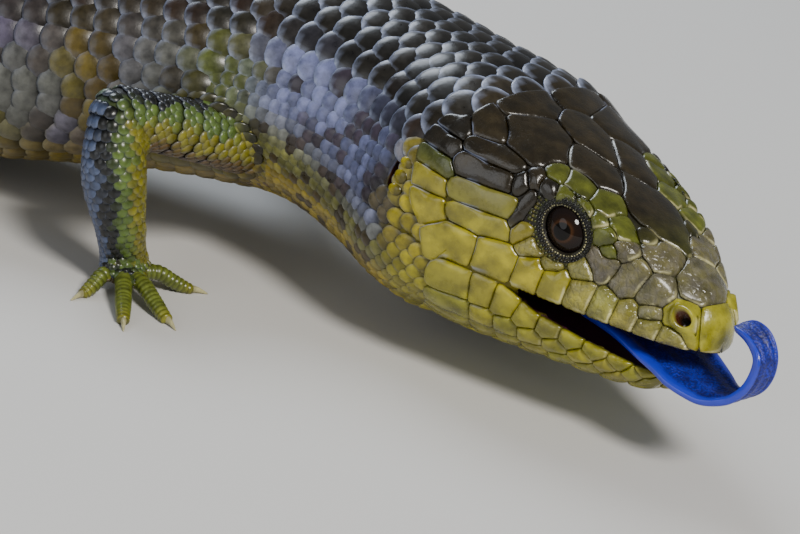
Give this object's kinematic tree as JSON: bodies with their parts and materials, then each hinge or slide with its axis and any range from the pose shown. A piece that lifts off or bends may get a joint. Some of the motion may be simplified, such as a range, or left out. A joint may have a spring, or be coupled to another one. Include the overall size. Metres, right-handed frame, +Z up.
{
  "type": "blue-tongued skink",
  "caption": "Life-size still model of a blue-tongued skink standing low on four short legs, head turned to its right, mouth ajar and blue tongue curled up.",
  "frame": {"origin": "middle of the animal's box on the floor it stands on", "axes": "+X along the trunk towards the head, +Y to the animal's left, +Z up from the floor"},
  "size_m": [0.4949, 0.1346, 0.0522],
  "materials": {
    "head_shields": "glossy horny shields, dark olive above, yellow-green at the snout and cheeks",
    "jaw_scales": "smooth yellow-green scales with a soft gloss",
    "tongue": "moist velvety royal blue",
    "eye": "wet near-black with a brown iris",
    "neck_scales": "overlapping blue-grey scales with dark brown spots",
    "body_scales": "smooth overlapping scales, banded dark and orange-gold",
    "leg_scales": "small overlapping grey-green scales, ringed toes"
  },
  "bodies": {
    "root": {"head": "head_shields", "lower_jaw": "jaw_scales", "tongue": "tongue", "eye_left": "eye", "eye_right": "eye", "neck": "neck_scales", "torso_front": "body_scales", "torso_middle": "body_scales", "torso_rear": "body_scales", "tail_base": "body_scales", "tail_middle": "body_scales", "tail_rear": "body_scales", "tail_tip": "body_scales", "fore_right_upper_arm": "leg_scales", "fore_right_forearm": "leg_scales", "fore_right_foot": "leg_scales", "fore_left_upper_arm": "leg_scales", "fore_left_forearm": "leg_scales", "fore_left_foot": "leg_scales", "hind_right_thigh": "leg_scales", "hind_right_shin": "leg_scales", "hind_right_foot": "leg_scales", "hind_left_thigh": "leg_scales", "hind_left_shin": "leg_scales", "hind_left_foot": "leg_scales"}
  },
  "joints": []
}
